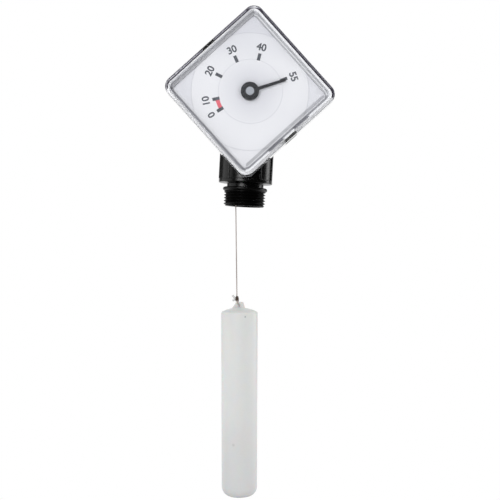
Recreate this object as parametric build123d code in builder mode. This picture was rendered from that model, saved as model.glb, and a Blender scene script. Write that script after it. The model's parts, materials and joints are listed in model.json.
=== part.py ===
from build123d import *

import math
import os

# Tank level gauge: a dial head on a threaded connector, with a float on a cord.
# All sizes are in millimetres and all angles in degrees.
# The origin is on the thread's axis, at the thread's upper end, and Z runs up that axis.
# X runs to the right of the dial, which faces -Y.
# The pieces of the dial and the movement are set out on planes that face -Y, given by their Y.

# ---- Threaded connector ----
THREAD_R = 16.62  # G1, over the crests
THREAD_LENGTH = 12.0
THREAD_CHAMFER = 1.3
NECK_DEPTH = 1.87  # below the thread's crests
NECK_LENGTH = 6.4
BORE_WALL = 1.55  # under the neck
SPIGOT_WALL = 3.8
SPIGOT_LENGTH = 16.0
FLANGE_INSET = 0.3  # inside the collar's corners
FLANGE_THICKNESS = 2.8
FLANGE_EDGE_R = 0.9
SEAL_SECTION_R = 1.5
SEAL_GAP = 0.1  # round the neck and above the thread

# ---- Housing ----
DIAL_HEIGHT = 74.5  # from the thread's upper end to the pointer's axis
COLLAR_WALL = 4.7  # from the spigot's socket to the collar's corners
COLLAR_SIDES = 10
COLLAR_TURN = 14.7  # from X to the collar's first corner
COLLAR_RIB_R = 1.0
COLLAR_RIB_PROUD = 0.4
SOCKET_GAP = 0.1
CAN_INSET = 4.5  # from the middle of the dial's sides in to the can
CAN_WALL = 2.4
CAN_BEHIND_COLLAR = 1.0
CAN_EDGE_R = 3.0
BACKPLATE_THICKNESS = 2.4
TRAY_BOSS_R = 3.5
TRAY_BOSS_LENGTH = 7.0

# ---- Clear cover ----
COVER_SIZE = 96.0
COVER_DEPTH = 22.0
COVER_TO_COLLAR = 0.6  # from the collar's front rib to the cover's back edge
COVER_WALL = 2.2
COVER_PANE = 2.5
COVER_CORNER_R = 8.0
COVER_EDGE_R = 1.2

# ---- Dial tray and dial ----
TRAY_GAP = 0.2  # between the tray and the cover
TRAY_WALL = 1.6
TRAY_FLOOR = 2.0
TRAY_INSET = 2.0  # from the cover's back edge to the tray's back
TRAY_TO_PANE = 0.1
FRAME_WIDTH = 2.4  # round the dial, inside the tray's wall
FRAME_PROUD = 1.0  # how far the frame stands in front of the dial
DIAL_CORNER_R = 1.0
DIAL_THICKNESS = 1.5
DIAL_DEPTH = 8.5  # from the cover's front to the dial's
DIAL_GAP = 0.1
DIAL_HOLE_R = 2.6
DISC_BEYOND = 3.8  # how far the disc's circle runs past the middle of the dial's sides
DIAL_DISC_PROUD = 0.3
DIAL_SEAT = 1.6  # how far the support reaches under the dial's edge
SUPPORT_WALL = 3.0

# ---- Snap arms and what they hook into ----
ARM_ANGLE = 135.0  # the first of two, opposite each other
ARM_WIDTH = 11.0
ARM_LENGTH = 12.5
ARM_GAP = 0.2
HOOK_WIDTH = 9.2
HOOK_HEIGHT = 3.0
HOOK_DEPTH = 1.4
NOTCH_WIDTH = 9.2
NOTCH_DEPTH = 2.0
POCKET_LENGTH = 14.6
POCKET_DEPTH = 0.8
POCKET_HEIGHT = 4.5

# ---- Movement plates and pillars ----
PLATE_ROOM = 3.6  # between the plates' edges and the can
PLATE_THICKNESS = 1.2
REAR_PLATE_Y = 4.2  # its front face
FRONT_PLATE_Y = -16.0  # its back face
PILLAR_INSET = 4.0  # from the plates' edges to the circle of pillars
PILLAR_START = 90.0
PILLAR_COUNT = 3
PILLAR_R = 2.5
PILLAR_TENON_R = 1.6
PLATE_BOSS_R = 3.5
PLATE_BOSS_START = 30.0

# ---- Screws ----
PLATE_SCREW_R = 1.1
PLATE_SCREW_HEAD_R = 2.3
PLATE_SCREW_HEAD = 1.4
PLATE_SCREW_LENGTH = 6.0
TRAY_SCREW_R = 1.4
TRAY_SCREW_HEAD_R = 2.8
TRAY_SCREW_HEAD = 1.8
TRAY_SCREW_LENGTH = 8.0
TRAY_SCREW_TO_CAN = 3.0
TRAY_SCREW_ANGLES = (20.0, 160.0, 200.0, 340.0)
SLOT_WIDTH = 0.7
SLOT_DEPTH = 0.7
SLOT_ANGLE = 30.0
SCREW_GAP = 0.05
HOLE_EXTRA = 1.5  # how far a tapped hole runs on past its screw

# ---- Gear train: drum pinion, idler wheel, idler pinion, pointer wheel ----
PINION_TEETH = 12
WHEEL_TEETH = 41
WHEEL_TIP_CUT = 0.12  # the wheels' tips are cut back to clear the pinions' roots
BACKLASH = 0.1  # taken off each flank
PRESSURE_ANGLE = 20.0
ROOT_DEPTH = 1.25  # below the pitch line, in modules
IDLER_ANGLE = 30.0
WHEEL_THICKNESS = 1.4
DRUM_PINION_LENGTH = 3.4
IDLER_PINION_LENGTH = 3.4
GEAR_GAP = 0.4
WHEEL_WINDOWS = 5
WHEEL_RIM = 1.6
WHEEL_HUB_R = 4.6

# ---- Drum, arbors and mainspring ----
WINDING_R = 12.45  # to the middle of the cord
CORD_R = 0.5
CORD_GAP = 0.05
DRUM_WALL = 1.5
DRUM_FLANGE = 1.0
DRUM_FLANGE_PROUD = 1.0  # beyond the wound cord
DRUM_WIDTH = 9.0  # between the flanges
DRUM_WEB = 1.4
DRUM_BACK_ROOM = 1.0  # between the hanging cord and the rear flange
DRUM_CAP = 1.4
DRUM_ARBOR_R = 1.5
DRUM_ARBOR_COLLAR_R = 3.0
IDLER_TO_DRUM = 0.95  # from the idler's arbor to the drum's flanges
RUNNING_FIT = 0.05
END_PLAY = 0.2
IDLER_ARBOR_R = 1.0
POINTER_ARBOR_R = 1.2
PIVOT_R = 0.6
PIVOT_LENGTH = 2.2
SPRING_THICKNESS = 0.3
SPRING_WIDTH = 4.6
SPRING_TURNS = 5
SPRING_INNER_R = 2.2

# ---- Pointer ----
POINTER_ANGLE = 20.8
POINTER_HUB_R = 7.0
POINTER_HUB = 2.4
POINTER_GAP = 0.7  # in front of the dial's disc
POINTER_REACH = 28.4
POINTER_THICKNESS = 1.1
POINTER_ROOT_WIDTH = 2.6
POINTER_TIP_WIDTH = 2.0
POINTER_CAP_R = 3.2
POINTER_CAP = 1.1
POINTER_CAP_PROUD = 0.5

# ---- Cord and float ----
CORD_LEAN = 3.81  # how far the hanging cord leans from the thread's axis
FLOAT_LEAN = 3.1
KNOT_DROP = 86.5  # from the thread's upper end down to the knot
KNOT_R = 1.35
KNOT_LENGTH = 4.4
LOOP_R = 0.4
LOOP_HALF_WIDTH = 2.1
LOOP_DROP = 5.5  # from the knot's middle down to the float's eye
EYE_X = 0.52
EYE_R = 0.95
TAB_RISE = 3.1  # above the eye
TAB_DROP = 3.0  # below the eye, down into the crown
TAB_TOP_LEFT = 2.7  # from the eye
TAB_TOP_RIGHT = 3.2
TAB_BASE_LEFT = 6.6
TAB_BASE_RIGHT = 4.9
TAB_CORNER_R = 1.2
TAB_THICKNESS = 2.6
FLOAT_TOP_R = 14.75
FLOAT_BOTTOM_R = 14.15
FLOAT_LENGTH = 151.3
FLOAT_SHOULDER_R = 1.8
FLOAT_DOME = 3.5
FLOAT_FOOT_R = 7.7
FLOAT_WALL = 1.2
EYE_TO_CROWN = 1.43

# ---- Planes and places worked out from the sizes ----
NECK_R = THREAD_R - NECK_DEPTH
BORE_R = NECK_R - BORE_WALL
SPIGOT_R = BORE_R + SPIGOT_WALL
SOCKET_R = SPIGOT_R + SOCKET_GAP
COLLAR_R = SOCKET_R + COLLAR_WALL
FLANGE_R = COLLAR_R - FLANGE_INSET
SPIGOT_BASE_Z = NECK_LENGTH + FLANGE_THICKNESS
COVER_BACK_Y = -(COLLAR_R + COLLAR_RIB_PROUD + COVER_TO_COLLAR)
COVER_FRONT_Y = COVER_BACK_Y - COVER_DEPTH
PANE_BACK_Y = COVER_FRONT_Y + COVER_PANE
TRAY_SIZE = COVER_SIZE - 2 * (COVER_WALL + TRAY_GAP)
TRAY_CORNER_R = COVER_CORNER_R - COVER_WALL - TRAY_GAP
TRAY_BACK_Y = COVER_BACK_Y - TRAY_INSET
TRAY_FRONT_Y = PANE_BACK_Y + TRAY_TO_PANE
BACKPLATE_BACK_Y = TRAY_BACK_Y + BACKPLATE_THICKNESS
DIAL_SIZE = TRAY_SIZE - 2 * (TRAY_WALL + FRAME_WIDTH + DIAL_GAP)
DIAL_DISC_R = DIAL_SIZE / 2 + DISC_BEYOND
DIAL_FRONT_Y = COVER_FRONT_Y + DIAL_DEPTH
DIAL_BACK_Y = DIAL_FRONT_Y + DIAL_THICKNESS
FRAME_Y = DIAL_FRONT_Y - FRAME_PROUD
CAN_R = DIAL_SIZE / 2 - CAN_INSET
CAN_INNER_R = CAN_R - CAN_WALL
CAN_BACK_Y = COLLAR_R + CAN_BEHIND_COLLAR
CAN_FLOOR_Y = CAN_BACK_Y - CAN_WALL
TRAY_SCREW_CIRCLE_R = CAN_R + TRAY_SCREW_TO_CAN
PLATE_R = CAN_INNER_R - PLATE_ROOM
PILLAR_CIRCLE_R = PLATE_R - PILLAR_INSET
REAR_PLATE_BACK_Y = REAR_PLATE_Y + PLATE_THICKNESS
FRONT_PLATE_FRONT_Y = FRONT_PLATE_Y - PLATE_THICKNESS
DRUM_R = WINDING_R - CORD_R - CORD_GAP
DRUM_FLANGE_R = WINDING_R + CORD_R + DRUM_FLANGE_PROUD
CENTRE_DISTANCE = DRUM_FLANGE_R + IDLER_TO_DRUM + IDLER_ARBOR_R
MODULE = 2 * CENTRE_DISTANCE / (PINION_TEETH + WHEEL_TEETH)
WHEEL_PITCH_R = MODULE * WHEEL_TEETH / 2
DRUM_BACK_Y = DRUM_BACK_ROOM + DRUM_FLANGE
DRUM_FRONT_Y = DRUM_BACK_ROOM - DRUM_WIDTH - DRUM_FLANGE
DRUM_PINION_FRONT_Y = DRUM_FRONT_Y - DRUM_PINION_LENGTH
IDLER_WHEEL_BACK_Y = DRUM_FRONT_Y - GEAR_GAP - (DRUM_PINION_LENGTH - GEAR_GAP - WHEEL_THICKNESS) / 2
IDLER_WHEEL_FRONT_Y = IDLER_WHEEL_BACK_Y - WHEEL_THICKNESS
IDLER_PINION_FRONT_Y = IDLER_WHEEL_FRONT_Y - IDLER_PINION_LENGTH
POINTER_WHEEL_BACK_Y = IDLER_PINION_FRONT_Y + GEAR_GAP + WHEEL_THICKNESS
POINTER_BACK_Y = DIAL_FRONT_Y - DIAL_DISC_PROUD - POINTER_GAP
POINTER_HUB_FRONT_Y = POINTER_BACK_Y - POINTER_HUB
EYE_DROP = KNOT_DROP + LOOP_DROP


def facing(y, x=0.0, z=DIAL_HEIGHT):
    # A sketch plane that faces -Y: its x runs along X and its y up Z.
    return Plane(origin=(x, y, z), x_dir=(1, 0, 0), z_dir=(0, -1, 0))


def polar(radius, angle):
    return radius * math.cos(math.radians(angle)), radius * math.sin(math.radians(angle))


def square(size, corner_r):
    # The head is a square that stands on one corner.
    return RectangleRounded(size, size, corner_r, rotation=45)


def save(part, name):
    part.label = name
    export_step(part, f"parts/{name}.step")


def involute(angle):
    return math.tan(angle) - angle


def gear_points(teeth, tip_cut, turned):
    # The outline of a spur gear: each flank has a point at the root, the pitch line and the tip.
    pitch_r = MODULE * teeth / 2
    base_r = pitch_r * math.cos(math.radians(PRESSURE_ANGLE))
    half_tooth = math.pi / (2 * teeth) - BACKLASH / pitch_r
    half_tooth += involute(math.radians(PRESSURE_ANGLE))
    flank = []
    for radius in (pitch_r - ROOT_DEPTH * MODULE, pitch_r, pitch_r + MODULE - tip_cut):
        on_base = math.acos(min(1.0, base_r / radius))
        flank.append((radius, half_tooth - involute(on_base)))
    points = []
    for tooth in range(teeth):
        middle = math.radians(turned) + 2 * math.pi * tooth / teeth
        sides = [(r, middle - half) for r, half in flank]
        sides += [(r, middle + half) for r, half in reversed(flank)]
        points += [(r * math.cos(a), r * math.sin(a)) for r, a in sides]
    return points


def gear(teeth, tip_cut, turned):
    # A gear's filled outline, drawn in the sketch that calls it.
    with BuildLine() as outline:
        Polyline(*gear_points(teeth, tip_cut, turned), close=True)
    make_face(outline.edges())


def wheel_windows():
    # The windows that lighten a wheel, between its hub and its rim.
    outer_r = WHEEL_PITCH_R - ROOT_DEPTH * MODULE - WHEEL_RIM
    with PolarLocations((outer_r + WHEEL_HUB_R) / 2, WHEEL_WINDOWS):
        Circle((outer_r - WHEEL_HUB_R) / 2, mode=Mode.SUBTRACT)


def screws(head_plane, places, head_r, head_height, shank_r, shank_length):
    # Slotted screws whose heads stand on head_plane and whose shanks run back from it.
    with BuildPart() as made:
        with BuildSketch(head_plane):
            with Locations(*places):
                Circle(head_r)
        extrude(amount=head_height)
        with BuildSketch(head_plane):
            with Locations(*places):
                Circle(shank_r)
        extrude(amount=-shank_length)
        with BuildSketch(head_plane.offset(head_height)):
            with Locations(*places):
                Rectangle(3 * head_r, SLOT_WIDTH, rotation=SLOT_ANGLE)
        extrude(amount=-SLOT_DEPTH, mode=Mode.SUBTRACT)
    return made.part


os.makedirs("parts", exist_ok=True)

idler_x, idler_up = polar(CENTRE_DISTANCE, IDLER_ANGLE)
idler_z = DIAL_HEIGHT + idler_up
tray_screw_places = [polar(TRAY_SCREW_CIRCLE_R, angle) for angle in TRAY_SCREW_ANGLES]

# ---- Threaded connector: thread, neck and flange, with a spigot that the housing sits on ----
with BuildPart() as threaded_connector:
    with BuildSketch(Plane.XZ):
        with BuildLine():
            Polyline(
                (BORE_R, -THREAD_LENGTH),
                (THREAD_R - THREAD_CHAMFER, -THREAD_LENGTH),
                (THREAD_R, -THREAD_LENGTH + THREAD_CHAMFER),
                (THREAD_R, 0),
                (NECK_R, 0),
                (NECK_R, NECK_LENGTH),
                (FLANGE_R, NECK_LENGTH),
                (FLANGE_R, SPIGOT_BASE_Z),
                (SPIGOT_R, SPIGOT_BASE_Z),
                (SPIGOT_R, SPIGOT_BASE_Z + SPIGOT_LENGTH),
                (BORE_R, SPIGOT_BASE_Z + SPIGOT_LENGTH),
                close=True,
            )
        make_face()
    revolve(axis=Axis.Z)
    rims = threaded_connector.edges().filter_by(GeomType.CIRCLE)
    fillet([e for e in rims if abs(e.radius - FLANGE_R) < 0.01], FLANGE_EDGE_R)
save(threaded_connector.part, "threaded_connector")

# ---- Sealing ring, round the neck and on the thread's upper end ----
with BuildPart() as sealing_ring:
    with BuildSketch(Plane.XZ):
        with Locations((NECK_R + SEAL_GAP + SEAL_SECTION_R, SEAL_GAP + SEAL_SECTION_R)):
            Circle(SEAL_SECTION_R)
    revolve(axis=Axis.Z)
save(sealing_ring.part, "sealing_ring")

# ---- Rear housing: back plate, round can, ribbed collar and two snap arms ----
socket_top_z = SPIGOT_BASE_Z + SPIGOT_LENGTH + SOCKET_GAP
rib_circle_r = COLLAR_R + COLLAR_RIB_PROUD - COLLAR_RIB_R
collar_top_z = DIAL_HEIGHT - math.sqrt(CAN_INNER_R**2 - COLLAR_R**2)
throat_top_z = DIAL_HEIGHT - PILLAR_CIRCLE_R - PLATE_BOSS_R
arm_outer = COVER_SIZE / 2
arm_inner = TRAY_SIZE / 2 + TRAY_GAP
with BuildPart() as rear_housing:
    with BuildSketch(facing(BACKPLATE_BACK_Y)):
        square(TRAY_SIZE, TRAY_CORNER_R)
    extrude(amount=BACKPLATE_THICKNESS)
    with BuildSketch(facing(CAN_BACK_Y)):
        Circle(CAN_R)
    extrude(amount=CAN_BACK_Y - BACKPLATE_BACK_Y)
    back_rim = rear_housing.edges().filter_by(GeomType.CIRCLE).group_by(Axis.Y)[-1]
    fillet(back_rim, CAN_EDGE_R)
    with BuildSketch(Plane.XY.offset(SPIGOT_BASE_Z)):
        RegularPolygon(COLLAR_R, COLLAR_SIDES, rotation=COLLAR_TURN)
        with PolarLocations(rib_circle_r, COLLAR_SIDES, start_angle=COLLAR_TURN):
            Circle(COLLAR_RIB_R)
    extrude(amount=collar_top_z - SPIGOT_BASE_Z)
    with BuildSketch(facing(BACKPLATE_BACK_Y)):
        with Locations(*tray_screw_places):
            Circle(TRAY_BOSS_R)
    extrude(amount=-TRAY_BOSS_LENGTH)
    with BuildSketch(facing(CAN_FLOOR_Y)):
        Circle(CAN_INNER_R)
    extrude(amount=CAN_FLOOR_Y - TRAY_BACK_Y, mode=Mode.SUBTRACT)
    with BuildSketch(Plane.XY.offset(SPIGOT_BASE_Z)):
        Circle(SOCKET_R)
    extrude(amount=socket_top_z - SPIGOT_BASE_Z, mode=Mode.SUBTRACT)
    with BuildSketch(Plane.XY.offset(socket_top_z)):
        Circle(BORE_R)
    extrude(amount=throat_top_z - socket_top_z, mode=Mode.SUBTRACT)
    # bosses for the movement, on the can's floor
    with BuildSketch(facing(CAN_FLOOR_Y)):
        with PolarLocations(PILLAR_CIRCLE_R, PILLAR_COUNT, start_angle=PLATE_BOSS_START):
            Circle(PLATE_BOSS_R)
    extrude(amount=CAN_FLOOR_Y - REAR_PLATE_BACK_Y)
    with BuildSketch(facing(REAR_PLATE_BACK_Y)):
        with PolarLocations(PILLAR_CIRCLE_R, PILLAR_COUNT, start_angle=PLATE_BOSS_START):
            Circle(PLATE_SCREW_R + SCREW_GAP)
    extrude(amount=-(PLATE_SCREW_LENGTH - PLATE_THICKNESS + HOLE_EXTRA), mode=Mode.SUBTRACT)
    with BuildSketch(facing(TRAY_BACK_Y)):
        with Locations(*tray_screw_places):
            Circle(TRAY_SCREW_R + SCREW_GAP)
    extrude(amount=-(TRAY_SCREW_LENGTH - TRAY_FLOOR + HOLE_EXTRA), mode=Mode.SUBTRACT)
    # snap arms, flush with the cover's walls, with hooks that reach into the tray
    with BuildSketch(facing(BACKPLATE_BACK_Y)):
        with PolarLocations((arm_outer + arm_inner) / 2, 2, start_angle=ARM_ANGLE):
            Rectangle(arm_outer - arm_inner, ARM_WIDTH)
    extrude(amount=BACKPLATE_THICKNESS + ARM_LENGTH)
    with BuildSketch(facing(BACKPLATE_BACK_Y)):
        with PolarLocations(arm_inner - 0.5 * COVER_WALL, 2, start_angle=ARM_ANGLE):
            Rectangle(COVER_WALL, ARM_WIDTH)
    extrude(amount=BACKPLATE_THICKNESS)
    with BuildSketch(facing(TRAY_BACK_Y - ARM_LENGTH + HOOK_HEIGHT)):
        with PolarLocations(arm_inner - HOOK_DEPTH / 2, 2, start_angle=ARM_ANGLE):
            Rectangle(HOOK_DEPTH, HOOK_WIDTH)
    extrude(amount=HOOK_HEIGHT)
save(rear_housing.part, "rear_housing")

# ---- Dial tray: floor, outer wall, the dial's support and the frame round the dial ----
arm_tip_y = TRAY_BACK_Y - ARM_LENGTH
support_inner = DIAL_SIZE - 2 * DIAL_SEAT
support_outer = support_inner + 2 * SUPPORT_WALL
with BuildPart() as dial_tray:
    with BuildSketch(facing(TRAY_BACK_Y)):
        square(TRAY_SIZE, TRAY_CORNER_R)
    extrude(amount=TRAY_BACK_Y - TRAY_FRONT_Y)
    with BuildSketch(facing(TRAY_BACK_Y - TRAY_FLOOR)):
        square(TRAY_SIZE - 2 * TRAY_WALL, TRAY_CORNER_R - TRAY_WALL)
    extrude(amount=TRAY_BACK_Y - TRAY_FLOOR - TRAY_FRONT_Y, mode=Mode.SUBTRACT)
    with BuildSketch(facing(TRAY_BACK_Y - TRAY_FLOOR)):
        square(support_outer, DIAL_CORNER_R + SUPPORT_WALL)
        Rectangle(support_inner, support_inner, rotation=45, mode=Mode.SUBTRACT)
    extrude(amount=TRAY_BACK_Y - TRAY_FLOOR - DIAL_BACK_Y)
    with BuildSketch(facing(DIAL_BACK_Y)):
        square(TRAY_SIZE - 2 * TRAY_WALL, TRAY_CORNER_R - TRAY_WALL)
        RectangleRounded(
            DIAL_SIZE + 2 * DIAL_GAP,
            DIAL_SIZE + 2 * DIAL_GAP,
            DIAL_CORNER_R + DIAL_GAP,
            rotation=45,
            mode=Mode.SUBTRACT,
        )
    extrude(amount=DIAL_BACK_Y - FRAME_Y)
    with BuildSketch(facing(TRAY_BACK_Y)):
        Circle(DIAL_HOLE_R)
        with Locations(*tray_screw_places):
            Circle(TRAY_SCREW_R + SCREW_GAP)
    extrude(amount=TRAY_FLOOR, mode=Mode.SUBTRACT)
    # windows for the hooks, a notch in the rim over each, and a pocket on either side
    with BuildSketch(facing(arm_tip_y + HOOK_HEIGHT + ARM_GAP)):
        with PolarLocations(TRAY_SIZE / 2, 2, start_angle=ARM_ANGLE):
            Rectangle(2 * (HOOK_DEPTH - TRAY_GAP + ARM_GAP), HOOK_WIDTH + 2 * ARM_GAP)
    extrude(amount=HOOK_HEIGHT + 2 * ARM_GAP, mode=Mode.SUBTRACT)
    with BuildSketch(facing(TRAY_FRONT_Y + NOTCH_DEPTH)):
        with PolarLocations(TRAY_SIZE / 2, 2, start_angle=ARM_ANGLE):
            Rectangle(3 * TRAY_WALL, NOTCH_WIDTH)
    extrude(amount=NOTCH_DEPTH, mode=Mode.SUBTRACT)
    with BuildSketch(facing(TRAY_FRONT_Y + POCKET_HEIGHT)):
        with PolarLocations(TRAY_SIZE / 2, 2, start_angle=ARM_ANGLE):
            with Locations((0, (NOTCH_WIDTH + POCKET_LENGTH) / 2), (0, -(NOTCH_WIDTH + POCKET_LENGTH) / 2)):
                Rectangle(2 * POCKET_DEPTH, POCKET_LENGTH)
    extrude(amount=POCKET_HEIGHT, mode=Mode.SUBTRACT)
save(dial_tray.part, "dial_tray")

# ---- Clear cover: a box open at the back, with a cut-out round each snap arm ----
cavity = COVER_SIZE - 2 * COVER_WALL
with BuildPart() as clear_cover:
    with BuildSketch(facing(COVER_BACK_Y)):
        square(COVER_SIZE, COVER_CORNER_R)
    extrude(amount=COVER_DEPTH)
    fillet(clear_cover.edges().group_by(Axis.Y)[0], COVER_EDGE_R)
    with BuildSketch(facing(COVER_BACK_Y)):
        square(cavity, COVER_CORNER_R - COVER_WALL)
    extrude(amount=COVER_DEPTH - COVER_PANE, mode=Mode.SUBTRACT)
    with BuildSketch(facing(COVER_BACK_Y)):
        with PolarLocations(COVER_SIZE / 2, 2, start_angle=ARM_ANGLE):
            Rectangle(3 * COVER_WALL, ARM_WIDTH + 2 * ARM_GAP)
    extrude(amount=COVER_BACK_Y - arm_tip_y + ARM_GAP, mode=Mode.SUBTRACT)
save(clear_cover.part, "clear_cover")

# ---- Dial plate: a square with a raised disc that its edges cut off ----
with BuildPart() as dial_plate:
    with BuildSketch(facing(DIAL_BACK_Y)):
        square(DIAL_SIZE, DIAL_CORNER_R)
    extrude(amount=DIAL_THICKNESS)
    with BuildSketch(facing(DIAL_FRONT_Y)):
        square(DIAL_SIZE, DIAL_CORNER_R)
        Circle(DIAL_DISC_R, mode=Mode.INTERSECT)
    extrude(amount=DIAL_DISC_PROUD)
    with BuildSketch(facing(DIAL_BACK_Y)):
        Circle(DIAL_HOLE_R)
    extrude(amount=DIAL_THICKNESS + DIAL_DISC_PROUD, mode=Mode.SUBTRACT)
save(dial_plate.part, "dial_plate")

# ---- Movement plates, with their pillars riveted into the rear one ----
idler_place = (idler_x, idler_up)
with BuildPart() as rear_movement_plate:
    with BuildSketch(facing(REAR_PLATE_BACK_Y)):
        Circle(PLATE_R)
        Circle(DRUM_ARBOR_R, mode=Mode.SUBTRACT)
        with Locations(idler_place):
            Circle(IDLER_ARBOR_R + RUNNING_FIT, mode=Mode.SUBTRACT)
        with PolarLocations(PILLAR_CIRCLE_R, PILLAR_COUNT, start_angle=PILLAR_START):
            Circle(PILLAR_TENON_R, mode=Mode.SUBTRACT)
        with PolarLocations(PILLAR_CIRCLE_R, PILLAR_COUNT, start_angle=PLATE_BOSS_START):
            Circle(PLATE_SCREW_R + SCREW_GAP, mode=Mode.SUBTRACT)
    extrude(amount=PLATE_THICKNESS)
save(rear_movement_plate.part, "rear_movement_plate")

with BuildPart() as front_movement_plate:
    with BuildSketch(facing(FRONT_PLATE_Y)):
        Circle(PLATE_R)
        Circle(POINTER_ARBOR_R + RUNNING_FIT, mode=Mode.SUBTRACT)
        with Locations(idler_place):
            Circle(IDLER_ARBOR_R + RUNNING_FIT, mode=Mode.SUBTRACT)
        with PolarLocations(PILLAR_CIRCLE_R, PILLAR_COUNT, start_angle=PILLAR_START):
            Circle(PLATE_SCREW_R + SCREW_GAP, mode=Mode.SUBTRACT)
    extrude(amount=PLATE_THICKNESS)
save(front_movement_plate.part, "front_movement_plate")

with BuildPart() as movement_pillars:
    with BuildSketch(facing(REAR_PLATE_Y)):
        with PolarLocations(PILLAR_CIRCLE_R, PILLAR_COUNT, start_angle=PILLAR_START):
            Circle(PILLAR_R)
    extrude(amount=REAR_PLATE_Y - FRONT_PLATE_Y)
    with BuildSketch(facing(REAR_PLATE_BACK_Y)):
        with PolarLocations(PILLAR_CIRCLE_R, PILLAR_COUNT, start_angle=PILLAR_START):
            Circle(PILLAR_TENON_R)
    extrude(amount=PLATE_THICKNESS)
    with BuildSketch(facing(FRONT_PLATE_Y)):
        with PolarLocations(PILLAR_CIRCLE_R, PILLAR_COUNT, start_angle=PILLAR_START):
            Circle(PLATE_SCREW_R + SCREW_GAP)
    extrude(amount=-(PLATE_SCREW_LENGTH - PLATE_THICKNESS + HOLE_EXTRA), mode=Mode.SUBTRACT)
save(movement_pillars.part, "movement_pillars")

# ---- Screws ----
pillar_places = [polar(PILLAR_CIRCLE_R, PILLAR_START + 360 / PILLAR_COUNT * n) for n in range(PILLAR_COUNT)]
boss_places = [polar(PILLAR_CIRCLE_R, PLATE_BOSS_START + 360 / PILLAR_COUNT * n) for n in range(PILLAR_COUNT)]
plate_screw = (PLATE_SCREW_HEAD_R, PLATE_SCREW_HEAD, PLATE_SCREW_R, PLATE_SCREW_LENGTH)
tray_screw = (TRAY_SCREW_HEAD_R, TRAY_SCREW_HEAD, TRAY_SCREW_R, TRAY_SCREW_LENGTH)
save(screws(facing(FRONT_PLATE_FRONT_Y), pillar_places, *plate_screw), "front_plate_screws")
save(screws(facing(REAR_PLATE_Y), boss_places, *plate_screw), "rear_plate_screws")
save(screws(facing(TRAY_BACK_Y - TRAY_FLOOR), tray_screw_places, *tray_screw), "tray_screws")

# ---- Drum arbor: fixed in the rear plate, with a bore for the pointer arbor's pivot ----
arbor_front_y = DRUM_PINION_FRONT_Y - END_PLAY
with BuildPart() as drum_arbor:
    with BuildSketch(facing(REAR_PLATE_BACK_Y)):
        Circle(DRUM_ARBOR_R)
    extrude(amount=REAR_PLATE_BACK_Y - arbor_front_y)
    with BuildSketch(facing(REAR_PLATE_Y)):
        Circle(DRUM_ARBOR_COLLAR_R)
    extrude(amount=REAR_PLATE_Y - DRUM_BACK_Y - END_PLAY)
    with BuildSketch(facing(arbor_front_y)):
        Circle(PIVOT_R + RUNNING_FIT)
    extrude(amount=-(PIVOT_LENGTH + END_PLAY), mode=Mode.SUBTRACT)
save(drum_arbor.part, "drum_arbor")

# ---- Cord drum: flanged drum with a web and a pinion in front, open at the back ----
with BuildPart() as cord_drum:
    with BuildSketch(facing(DRUM_BACK_Y)):
        Circle(DRUM_R)
    extrude(amount=DRUM_BACK_Y - DRUM_FRONT_Y)
    for flange_y in (DRUM_BACK_Y, DRUM_FRONT_Y + DRUM_FLANGE):
        with BuildSketch(facing(flange_y)):
            Circle(DRUM_FLANGE_R)
        extrude(amount=DRUM_FLANGE)
    with BuildSketch(facing(DRUM_BACK_Y)):
        Circle(DRUM_R - DRUM_WALL)
    extrude(amount=DRUM_BACK_Y - DRUM_FRONT_Y - DRUM_WEB, mode=Mode.SUBTRACT)
    with BuildSketch(facing(DRUM_FRONT_Y)):
        gear(PINION_TEETH, 0, IDLER_ANGLE)
    extrude(amount=DRUM_PINION_LENGTH)
    with BuildSketch(facing(DRUM_BACK_Y)):
        Circle(DRUM_ARBOR_R + RUNNING_FIT)
    extrude(amount=DRUM_BACK_Y - DRUM_PINION_FRONT_Y, mode=Mode.SUBTRACT)
save(cord_drum.part, "cord_drum")

with BuildPart() as drum_cap:
    with BuildSketch(facing(DRUM_BACK_Y)):
        Circle(DRUM_R - DRUM_WALL)
        Circle(DRUM_ARBOR_R + RUNNING_FIT, mode=Mode.SUBTRACT)
    extrude(amount=DRUM_CAP)
save(drum_cap.part, "drum_cap")

# ---- Mainspring: a flat spiral of half turns, whose outer end lies on the drum's wall ----
spring_outer_r = DRUM_R - DRUM_WALL - CORD_GAP
spring_step = (spring_outer_r - SPRING_THICKNESS - SPRING_INNER_R) / (2 * SPRING_TURNS)


def spiral_edges(inner_r):
    # Half circles about two centres in turn, so that the radius grows by a step in each.
    for half in range(2 * SPRING_TURNS):
        side = 1 if half % 2 == 0 else -1
        middle = -side * spring_step / 2
        radius = inner_r + spring_step * (half + 0.5)
        CenterArc((middle, 0), radius, 0 if side > 0 else 180, 180)


with BuildPart() as mainspring:
    spring_back_y = DRUM_BACK_Y - DRUM_CAP - END_PLAY
    with BuildSketch(facing(spring_back_y)):
        with BuildLine():
            spiral_edges(SPRING_INNER_R)
            spiral_edges(SPRING_INNER_R + SPRING_THICKNESS)
            for end in (SPRING_INNER_R, SPRING_INNER_R + spring_step * 2 * SPRING_TURNS):
                Line((end, 0), (end + SPRING_THICKNESS, 0))
        make_face()
    extrude(amount=SPRING_WIDTH)
save(mainspring.part, "mainspring")

# ---- Cord wound on the drum: the outer shape of its turns, beside the turn that leaves ----
winding_inner_r = WINDING_R - CORD_R
with BuildPart() as cord_winding:
    with BuildSketch(facing(-CORD_R - CORD_GAP)):
        Circle(WINDING_R + CORD_R)
        Circle(winding_inner_r, mode=Mode.SUBTRACT)
    extrude(amount=DRUM_WIDTH - DRUM_BACK_ROOM - CORD_R - 2 * CORD_GAP)
save(cord_winding.part, "cord_winding")

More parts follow.
